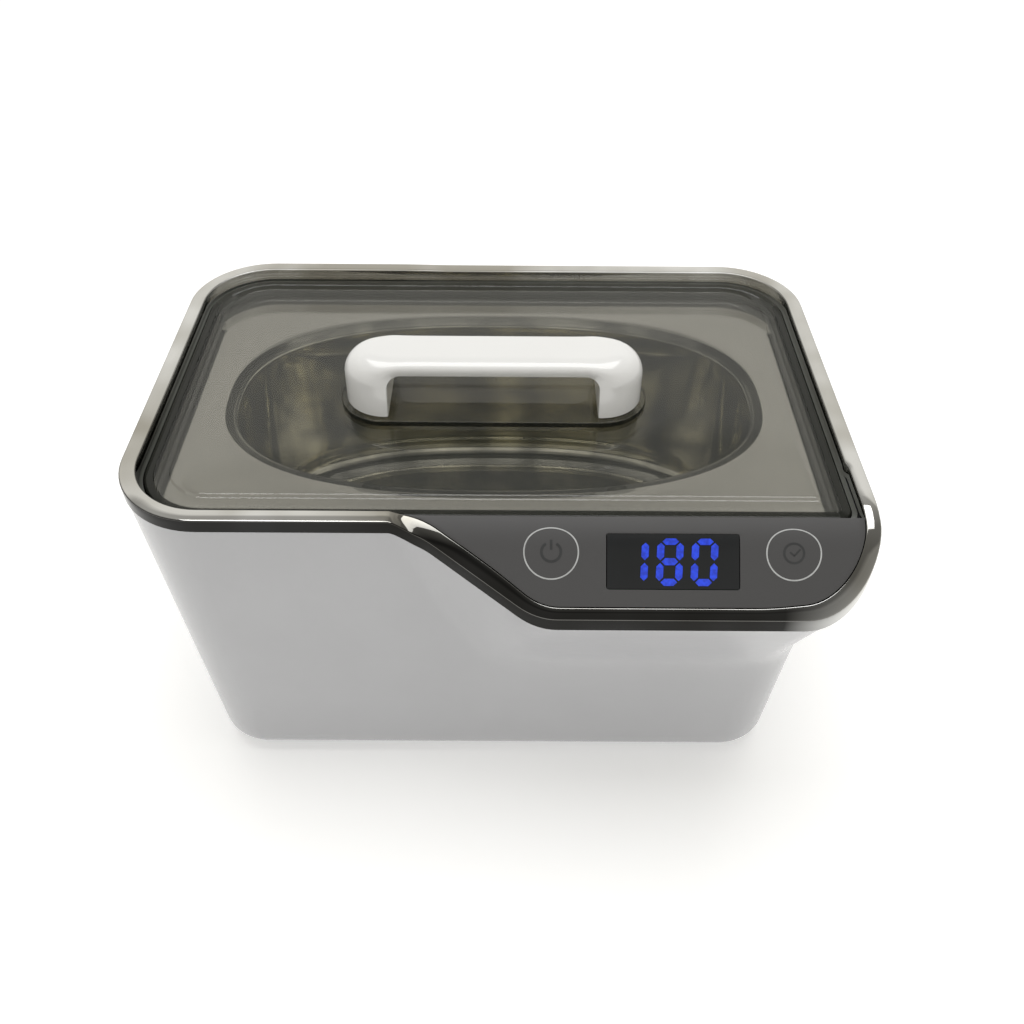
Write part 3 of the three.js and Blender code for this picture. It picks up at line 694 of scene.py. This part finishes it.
def housing_floor(p, n):
    """From the foot of the outer wall round the bottom edge and in to the lip of the opening."""
    start, edge = p - n * BODY["clear"], BODY["edge"]
    row = []
    for a in rounding(6)[1:]:
        depth = BODY_BOTTOM - edge + edge * math.sin(a)
        q = on_tub(start, depth, edge * (1 - math.cos(a)))
        row.append((q.x, q.y, -depth))
    for depth in (BODY_BOTTOM, BODY_BOTTOM - FLOOR_SHEET):
        q = on_tub(start, BODY_BOTTOM, LIP)
        row.append((q.x, q.y, -depth))
    return row


def housing_shell():
    columns = []
    for p, n in trim_outline():
        inner = housing_wall(p, n, BODY["wall"], 12)
        q = on_tub(p, BODY_BOTTOM - FLOOR_SHEET, BODY["wall"] + 1.5)
        foot = [(q.x, q.y, FLOOR_SHEET - BODY_BOTTOM)]
        columns.append(housing_wall(p, n, 0, 34) + housing_floor(p, n) + foot + inner[::-1])
    points, faces = skin(columns, close_rows=True)
    shell = mesh_piece("tub_shell", points, faces, white_plastic, 40)
    low, high = node_box("power_inlet")
    middle = (low + high) / 2
    centre = (middle.x, high.y - INLET_HOLE["inwards"], middle.z)
    combine(shell, block("inlet_hole", INLET_HOLE["size"], centre, -INLET_HOLE["lean"]), "DIFFERENCE")
    return bound(shell, "tub", "white_plastic", "housing_shell")


# ---------- Control panel ----------
def on_panel(x, slope, lift):
    """A point of the panel's face: x across, slope down from the hinge line, lift off the face."""
    y = HINGE - slope * math.cos(SLOPE)
    return (x, y, top_level(x, y) - PANEL["recess"] + lift)


def panel_limits(y, inner_edge):
    """Where the trim's inner edge crosses a depth, on the left and on the right."""
    left, right = -1e9, 1e9
    for a, b in zip(inner_edge, inner_edge[1:]):
        if (a.y - y) * (b.y - y) <= 0 and a.y != b.y:
            x = lerp(a.x, b.x, (y - a.y) / (b.y - a.y))
            if b.y < a.y:
                left = max(left, x)
            else:
                right = min(right, x)
    return left, right


def control_fascia():
    outline = trim_outline()
    edge = [p - n * (face_width(p) + PANEL["gap"]) for p, n in outline if p.y < STEP and p.x > -60]
    rear = TRIM["ring"] - HALF_DEPTH - PANEL["rear_gap"]
    front = min(p.y for p in edge) + 0.02
    rows = []
    count, across = 40, 60
    for i in range(count + 1):
        y = lerp(rear, front, math.sin(math.pi / 2 * i / count))
        left, right = panel_limits(y, edge)
        places = [lerp(left, right, j / across) for j in range(across + 1)]
        rows.append([(x, y, top_level(x, y) - PANEL["recess"]) for x in places])
    points, faces = skin(rows, close_columns=False)
    piece = mesh_piece("panel_overlay", points, faces, fascia_plastic)
    thicken(piece, PANEL["plate"])
    width, height = WINDOW["width"] + 2 * PANEL["window_gap"], WINDOW["height"] + 2 * PANEL["window_gap"]
    hole = [p for p, _ in rounded(width / 2, height / 2, WINDOW["corner"], steps=4)]
    over, under = 6, -8
    walls = []
    for lift in (over, under):
        walls.append([on_panel(WINDOW["x"] + p.x, WINDOW["slope"] - p.y, lift) for p in hole])
    combine(piece, stack("window_hole", walls, fascia_plastic), "DIFFERENCE")
    freeze(bevel(piece, PANEL["edge"]))
    return bound(piece, "tub", "fascia_plastic", "control_fascia")


def thin_plate(name, rows, material, thick):
    """A plate lying on the panel, from rows of (x, slope, lift)."""
    points, faces = skin([[on_panel(*p) for p in row] for row in rows], close_columns=False)
    return thicken(mesh_piece(name, points, faces, material), thick)


def display_window():
    half_width, half_height = WINDOW["width"] / 2, WINDOW["height"] / 2
    down, across = 12, 28
    rows = []
    for i in range(down + 1):
        slope = WINDOW["slope"] + lerp(-half_height, half_height, i / down)
        places = [WINDOW["x"] + lerp(-half_width, half_width, j / across) for j in range(across + 1)]
        rows.append([(x, slope, WINDOW["lift"]) for x in places])
    window = thin_plate("display_glass", rows, lens_black, WINDOW["thick"])
    return bound(window, "tub", "display_lens", "display_window")


def ring_band(x, slope, inner, outer, start=0, end=360, steps=72):
    """Rows of a flat band round a point of the panel, measured in degrees from the right."""
    rows = []
    for radius in (inner, outer):
        row = []
        for i in range(steps + 1):
            angle = math.radians(lerp(start, end, i / steps))
            row.append((x + radius * math.cos(angle), slope - radius * math.sin(angle), INK["lift"]))
        rows.append(row)
    return rows


def bar(x, slope, dx, dy, length, width):
    """Rows of a flat bar from a point of the panel along (dx, dy), dy being up the slope."""
    along = Vector((dx, dy)).normalized()
    side = Vector((-along.y, along.x)) * width / 2
    steps = 6
    rows = []
    for i in range(steps + 1):
        middle = along * length * i / steps
        rows.append([(x + q.x, slope - q.y, INK["lift"]) for q in (middle + side, middle - side)])
    return rows


def mark(name, strokes):
    """A mark on the panel, made of thin plates."""
    plates = [thin_plate(part, rows, mark_ink, INK["thick"]) for part, rows in strokes.items()]
    return bound(join(name, plates), "tub", "fascia_plastic")


def touch_marks():
    slope, radius = TOUCH["slope"], TOUCH["radius"]
    for side, x in zip(("power", "timer"), TOUCH["x"]):
        rows = ring_band(x, slope, radius - TOUCH["line"], radius)
        bound(thin_plate(f"touch_ring_{side}", rows, ring_ink, INK["thick"]), "tub", "fascia_plastic")
    left, right = TOUCH["x"]
    mark("power_mark", {
        "power_arc": ring_band(left, slope, 2.2, 2.95, 122, 418, 40),
        "power_bar": bar(left, slope - 0.5, 0, 1, 2.9, 0.7),
    })
    mark("clock_mark", {
        "clock_face": ring_band(right, slope, 2.3, 2.95),
        "short_hand": bar(right + 0.1, slope + 0.75, -1, 0.85, 1.6, 0.5),
        "long_hand": bar(right - 0.05, slope + 0.85, 1, 1.1, 2.6, 0.5),
    })


# Which of a digit's seven bars are lit: top, right upper and lower, bottom, left lower and upper, middle.
DIGITS = {"1": "0110000", "8": "1111111", "0": "1111110"}


def digit_bar(x, slope, across, up, length, upright):
    """A six-sided bar of a digit, its middle at (across, up) from the digit's middle."""
    half, thick = length / 2, DIGIT["half_bar"]
    outline = [
        (-half, 0), (thick - half, thick), (half - thick, thick),
        (half, 0), (half - thick, -thick), (thick - half, -thick),
    ]
    corners = []
    for a, b in outline:
        u, v = (-b, a) if upright else (a, b)
        corners.append((x + across + u + DIGIT["lean"] * (up + v), slope - up - v, 0.0))
    return corners


def display_digits():
    width, height = DIGIT["width"], DIGIT["height"]
    bar_places = (
        (0, height / 2, False), (width / 2, height / 4, True), (width / 2, -height / 4, True),
        (0, -height / 2, False), (-width / 2, -height / 4, True), (-width / 2, height / 4, True),
        (0, 0, False),
    )
    bars = []
    for i, figure in enumerate("180"):
        x = WINDOW["x"] + DIGIT["x"] + (i - 1) * DIGIT["pitch"]
        for (across, up, upright), lit in zip(bar_places, DIGITS[figure]):
            if lit == "1":
                length = (height / 2 if upright else width) - DIGIT["gap"]
                bars.append(digit_bar(x, WINDOW["slope"] + DIGIT["slope"], across, up, length, upright))
    points = [on_panel(*p) for shape in bars for p in shape]
    faces = [tuple(range(6 * i, 6 * i + 6)) for i in range(len(bars))]
    piece = mesh_piece("display_digits", points, faces, display_light)
    return bound(thicken(piece, DIGIT["thick"], both_ways=True), "tub", "display_lens")


# ---------- Lid ----------
def lid_outline(inset):
    """The lid's outline, its front right corner tighter than the others."""
    half_width, half_depth, corner = (size - LID_INSET - inset for size in (HALF_WIDTH, HALF_DEPTH, CORNER))
    near = max(LID["corner"] - inset, LID["least_corner"])
    return [p for p, _ in rounded(half_width, half_depth, corner, near)]


def on_painted_dark_edge(face):
    """Whether a face gets the painted dark edge, which stands in for shade and dark reflections: the lid's
    sides and the strip over its skirt, but not the lid's back, which stays clear.
    """
    front_right = face.center.x > 0 and face.center.y < RING_Y * MM
    corner = LID["corner"] if front_right else CORNER - LID_INSET
    out_x = abs(face.center.x) / MM - (HALF_WIDTH - LID_INSET - corner)
    out_y = abs(face.center.y / MM - RING_Y) - (HALF_DEPTH - LID_INSET - corner)
    reach = math.hypot(max(out_x, 0), max(out_y, 0)) + min(max(out_x, out_y), 0)
    at_edge = abs(face.normal.z) < 0.5 or reach > corner - LID["dark_edge"]
    return at_edge and face.center.y / MM - RING_Y < LID["dark_back"]


def lid_levels():
    """Across the lid's upper side, pairs of inset and level: its edge, a low bead and the step up."""
    top, edge, dark = LID["top"], LID["edge"], LID["dark_edge"]
    border, rise = LID["border"], LID["rise"]
    bead, turn = 0.16, 0.12
    rounded_edge = [(edge * (1 - math.sin(a)), top - edge * (1 - math.cos(a))) for a in reversed(rounding(4))]
    return rounded_edge + [
        (dark, top), (dark + 0.25, top + bead), (dark + 0.7, top + bead), (dark + 0.95, top),
        (border - 0.7, top), (border - 0.25, top + turn),
        (border + 0.25, top + rise - turn), (border + 0.7, top + rise),
    ]


def lid_boss():
    """The raised seat of the handle."""
    top, edge = LID["top"] + LID["rise"], BOSS["edge"]
    crest = top + BOSS["rise"]
    levels = [(0, top - BOSS["sunk"]), (0, crest - edge)]
    levels += [(edge * (1 - math.cos(a)), crest - edge + edge * math.sin(a)) for a in rounding(3)[1:]]
    outline = stadium(BOSS["width"], BOSS["depth"], HANDLE_Y)
    return stack("boss", [at_level(inset_by(outline, inset), z) for inset, z in levels], smoked_plastic)


def lid_panel():
    under, border, wall = LID["top"] - LID["plate"], LID["border"], LID["wall"]
    skirt, skirt_edge = LID["top"] - LID["skirt"], 0.15
    below = [
        (border + 3.2, under + LID["rise"]), (border + 2.6, under), (wall, under), (wall, skirt),
        (skirt_edge, skirt),
    ]
    rows = [at_level(lid_outline(0), skirt + skirt_edge)]
    rows += [at_level(lid_outline(inset), z) for inset, z in lid_levels()]
    upper_last = len(rows) - 1
    rows += [at_level(lid_outline(inset), z) for inset, z in below]
    count = len(rows[0])
    upper, lower = upper_last * count, (upper_last + 1) * count
    points, quads = skin(rows, close_rows=True)
    faces = [quad for quad in quads if not upper <= quad[0] < lower]
    faces += [tuple(range(upper, lower)), tuple(range(lower, lower + count))]
    lid = mesh_piece("lid_cover", points, faces, smoked_plastic, 30)
    combine(lid, lid_boss(), "UNION")
    smooth(lid.data, 30)
    # The lid's sides and the strip over its skirt get the painted dark edge, standing in for shade and dark
    # reflections.
    second_finish(lid, painted_dark_edge, on_painted_dark_edge)
    return bound(lid, "lid", "smoked_plastic", "lid_panel")


def corner_distance(angle):
    """From the middle of the handle's inner corner out to its shoulder, along an angle from level."""
    radius = HANDLE["shoulder"]
    across = HANDLE["half"] - (HANDLE["gap"] - HANDLE["inner"])
    up = HANDLE["thick"] + HANDLE["inner"]
    x, z = math.cos(angle), math.sin(angle)
    straight = min(across / max(x, 1e-6), up / max(z, 1e-6))
    cx, cz = across - radius, up - radius
    middle = x * cx + z * cz
    inside = middle**2 - (cx**2 + cz**2 - radius**2)
    if inside <= 0:
        return straight
    round_off = middle + math.sqrt(inside)
    px, pz = round_off * x, round_off * z
    return round_off if px > cx and pz > cz else straight


def handle_section(bar_share, thick, half):
    """Round the handle's section: pairs of distance outwards from its inner face and distance in depth."""
    cap = lerp(min(half, thick - HANDLE["leg_flat"]), HANDLE["bar_crown"], bar_share)
    power, inner_power = lerp(2.0, 3.4, bar_share), 9
    steps = 26
    outer, inner = [], []
    for i in range(steps + 1):
        v = -math.cos(math.pi * i / steps)
        bulge = (1 - abs(v) ** power) ** (1 / power)
        outer.append((thick - cap + cap * bulge, v * half))
        dent = (1 - abs(v) ** inner_power) ** (1 / inner_power)
        inner.append((HANDLE["inner_edge"] * (1 - dent), v * half))
    return outer + inner[::-1][1:-1]


def handle_row(origin, out, bar_share, height, thick):
    """The handle's section from an origin on its inner face outwards; its height sets how deep it is."""
    up = (height - HANDLE_FOOT) / (HANDLE_TOP - HANDLE_FOOT)
    half = lerp(HANDLE["foot"], HANDLE["bar"], ease(-0.1, 1.15, up))
    return [
        (origin[0] + out[0] * u, HANDLE_Y + v, origin[1] + out[1] * u)
        for u, v in handle_section(bar_share, thick, half)
    ]


def handle_side(side, centre_x, centre_z):
    """Up a leg and round its shoulder."""
    rows = []
    leg_steps, turn_steps, turn_rise = 6, 16, 7
    gap, inner = HANDLE["gap"], HANDLE["inner"]
    for i in range(leg_steps + 1):
        z = lerp(HANDLE_FOOT, centre_z, i / leg_steps)
        rows.append(handle_row((side * gap, z), (side, 0), 0.0, z, HANDLE["half"] - gap))
    for i in range(1, turn_steps + 1):
        share = i / turn_steps
        angle = math.radians(90 * share)
        out = (side * math.cos(angle), math.sin(angle))
        origin = (side * centre_x + out[0] * inner, centre_z + out[1] * inner)
        thick = corner_distance(angle) - inner
        rows.append(handle_row(origin, out, ease(0.15, 1.0, share), centre_z + turn_rise * share, thick))
    return rows


def lid_handle():
    inner, thick = HANDLE["inner"], HANDLE["thick"]
    centre_x, centre_z = HANDLE["gap"] - inner, HANDLE_TOP - thick - inner
    bar_steps = 12
    along = [lerp(-centre_x, centre_x, i / bar_steps) for i in range(1, bar_steps)]
    rows = handle_side(-1, centre_x, centre_z)
    rows += [handle_row((x, centre_z + inner), (0, 1), 1.0, HANDLE_TOP, thick) for x in along]
    rows += handle_side(1, centre_x, centre_z)[::-1]
    handle = stack("lift_handle", rows, handle_plastic, sharp=60)
    return bound(handle, "lid", "white_plastic", "lid_handle")


# ---------- Tank ----------
def basin_ring(grow):
    """The basin's outline, full at its ends and flatter on its long sides."""
    ring = []
    power = 2 / BASIN["power"]
    for i in range(TANK["steps"]):
        angle = 2 * math.pi * i / TANK["steps"]
        x = math.copysign(abs(math.cos(angle)) ** power, math.cos(angle)) * (TANK["half_width"] + grow)
        y = math.copysign(abs(math.sin(angle)) ** power, math.sin(angle)) * (TANK["half_depth"] + grow)
        ring.append(Vector((x, y)))
    return ring


def deck_edge(towards):
    """Where a line from the middle through a point meets the deck's outer edge."""
    half_width, half_depth, corner = (
        size - LID_INSET - TANK["deck_gap"] for size in (HALF_WIDTH, HALF_DEPTH, CORNER)
    )
    outline = [p for p, _ in rounded(half_width, half_depth, corner, LID["corner"])]
    for a, b in zip(outline, outline[1:] + outline[:1]):
        cross = towards.x * (b.y - a.y) - towards.y * (b.x - a.x)
        if abs(cross) < 1e-9:
            continue
        share = (a.x * towards.y - a.y * towards.x) / cross
        reach = (a.x * (b.y - a.y) - a.y * (b.x - a.x)) / cross
        if -1e-6 <= share <= 1 + 1e-6 and reach > 0:
            return towards * reach
    return towards


def basin_levels():
    """Down the basin: a band sloping in from the deck, a tight turn, the wall, and round on to the floor."""
    deck, band, drop, roll = TANK["deck"], BASIN["band"], BASIN["drop"], BASIN["roll"]
    bottom, radius, wall = deck - TANK["depth"], BASIN["floor_radius"], -BASIN["band"] - BASIN["roll"]
    turn = deck - drop - roll
    foot = wall - BASIN["draft"]
    levels = [(-band * t, deck - drop * t) for t in (0.0, 0.12, 0.88, 1.0)]
    levels += [(-band - roll * math.sin(a), turn + roll * math.cos(a)) for a in rounding(5)[1:]]
    levels += [(lerp(wall, foot, t), lerp(turn, bottom + radius, t)) for t in (0.15, 0.3, 0.5, 0.7, 0.85, 1)]
    return levels + [
        (foot - radius * (1 - math.cos(a)), bottom + radius * (1 - math.sin(a))) for a in rounding(9)[1:]
    ]


def tank():
    deck = TANK["deck"]
    rim = basin_ring(0)
    edge = [deck_edge(p) for p in rim]
    rows = [at_level([e.lerp(p, t) for e, p in zip(edge, rim)], deck) for t in (0, 0.3, 0.6, 0.85)]
    rows += [at_level(basin_ring(grow), z) for grow, z in basin_levels()]
    floor = rows[-1]
    rows += [[(x * share, y * share, z) for x, y, z in floor] for share in (0.7, 0.4, 0.15)]
    points, faces = skin(rows)
    faces.append(tuple(range(len(points) - TANK["steps"], len(points))))
    piece = mesh_piece("tank_pan", points, faces, polished_steel, 50)
    thicken(piece, TANK["sheet"], sharp=50)
    level, flat = place(0, 0, deck - 0.1).z, 0.995
    second_finish(piece, deck_steel, lambda face: face.normal.z > flat and face.center.z > level)
    return bound(piece, "tub", "polished_steel", "tank")


chrome_trim()
housing_shell()
control_fascia()
display_window()
touch_marks()
display_digits()
lid_panel()
lid_handle()
tank()


# ---------- Finishes of the frame's own pieces ----------
FINISHES = {
    "white_plastic": white_plastic,
    "display_lens": lens_black,
    "black_plastic": finish_of(
        "black_plastic", (0.012, 0.012, 0.013), 0.42, tone=0.1, grain=(1500, 0.00004),
    ),
    "foot_rubber": finish_of("foot_rubber", (0.03, 0.03, 0.03), 0.8, tone=0.15, grain=(2500, 0.00008)),
    "screw_steel": finish_of(
        "screw_steel", (0.55, 0.56, 0.57), 0.3, metallic=1.0, tone=0.06, grain=(1200, 0.00002),
    ),
    "circuit_board": finish_of("circuit_board", (0.012, 0.07, 0.026), 0.35, tone=0.15, cloud=300),
    "silicone": finish_of("silicone", (0.62, 0.62, 0.60), 0.55, tone=0.03, cloud=120),
    "aluminium": finish_of("aluminium", (0.60, 0.61, 0.62), 0.35, metallic=1.0, tone=0.06, cloud=200),
    "ceramic": finish_of(
        "ceramic", (0.22, 0.18, 0.14), 0.7, tone=0.1, cloud=300, grain=(2000, 0.00003),
    ),
    "brass": finish_of("brass", (0.60, 0.42, 0.15), 0.28, metallic=1.0, tone=0.08, cloud=250),
    "ferrite": finish_of("ferrite", (0.03, 0.03, 0.03), 0.6, tone=0.2, cloud=500),
    "copper_winding": finish_of(
        "copper_winding", (0.50, 0.16, 0.04), 0.3, tone=0.15, grain=(1800, 0.0001),
    ),
    "pale_plastic": finish_of("pale_plastic", (0.68, 0.64, 0.55), 0.45, tone=0.04, cloud=200),
    "grey_lead": finish_of("grey_lead", (0.13, 0.135, 0.14), 0.5, tone=0.08, cloud=300),
    "pale_lead": finish_of("pale_lead", (0.64, 0.62, 0.56), 0.5, tone=0.05, cloud=300),
}
FRAME_PLASTIC = finish_of("frame_plastic", (0.055, 0.058, 0.050), 0.35, tone=0.05, grain=(1500, 0.00002))
EDGES = {"power_inlet": 0.35, **{f"foot_{i}": 0.5 for i in range(1, 5)}}


def finish_frame():
    """Gives each piece of the frame that still shows its finish, and some of them round edges."""
    for row in frame["record"]["subparts"]:
        node = frame["nodes"][row["node"]]
        if node.hide_render:
            continue
        material = FRAME_PLASTIC if node.name == "top_frame" else FINISHES[row["material_slot"]]
        for slot in node.material_slots:
            slot.material = material
        if node.name in EDGES:
            bevel(node, EDGES[node.name], angle=40)


finish_frame()


# ---------- Stage, light and camera ----------
def make_floor():
    mesh = bpy.data.meshes.new("floor")
    reach = 4
    corners = [(-reach, -reach, 0), (reach, -reach, 0), (reach, reach, 0), (-reach, reach, 0)]
    mesh.from_pydata(corners, [], [(0, 1, 2, 3)])
    pale = finish_of(
        "floor_paint", (0.88, 0.88, 0.875), 0.7, tone=0.01, cloud=2, wear=0.02,
        emission_color=(1, 1, 1, 1), emission_strength=0.3,
    )
    new_object("floor", mesh, pale)


def area_light(name, place_at, target, size, power):
    lamp = bpy.data.lights.new(name, "AREA")
    lamp.shape = "RECTANGLE"
    lamp.size, lamp.size_y = size
    lamp.energy = power
    holder = bpy.data.objects.new(name, lamp)
    bpy.context.scene.collection.objects.link(holder)
    holder.location = place_at
    holder.rotation_euler = (Vector(target) - Vector(place_at)).to_track_quat("-Z", "Y").to_euler()


def make_world():
    """A soft room: bright low down, dimmer overhead, and a little dimmer at its sides."""
    world = bpy.data.worlds.new("room")
    bpy.context.scene.world = world
    world.use_nodes = True
    nodes, links = world.node_tree.nodes, world.node_tree.links
    shades = []
    for axis, start, stops in (
        ("Z", 0, ((0.0, 0.85), (0.66, 0.85), (0.72, 0.42), (1.0, 0.40))),
        ("Y", -1, ((0.0, 1.0), (0.5, 0.85), (1.0, 1.0))),
    ):
        height = mapped(nodes, links, component(nodes, links, "Generated", axis), start, 1)
        shades.append(grey_ramp(nodes, links, height, stops, (1, 0.99, 0.96)))
    links.new(mixed(nodes, links, *shades, blend="MULTIPLY"), nodes["Background"].inputs["Color"])


def make_camera():
    """Over the front edge, looking down at 43 degrees."""
    camera = bpy.data.cameras.new("camera")
    camera.lens = 35.8
    camera.sensor_width = 36
    holder = bpy.data.objects.new("camera", camera)
    bpy.context.scene.collection.objects.link(holder)
    holder.location = (0.00535, -0.2525, 0.3014)
    down, aside, roll = 43, -0.10, 0.414
    pitch = Matrix.Rotation(math.radians(90 - down), 3, "X")
    yaw, lean = (Matrix.Rotation(math.radians(angle), 3, "Z") for angle in (aside, roll))
    holder.rotation_euler = (yaw @ pitch @ lean).to_euler()
    bpy.context.scene.camera = holder


make_floor()
make_world()
make_camera()
area_light("top_light", (0, 0.15, 1.3), (0, 0, 0.05), (1.1, 0.9), 10)
bpy.context.scene.view_settings.view_transform = "Standard"
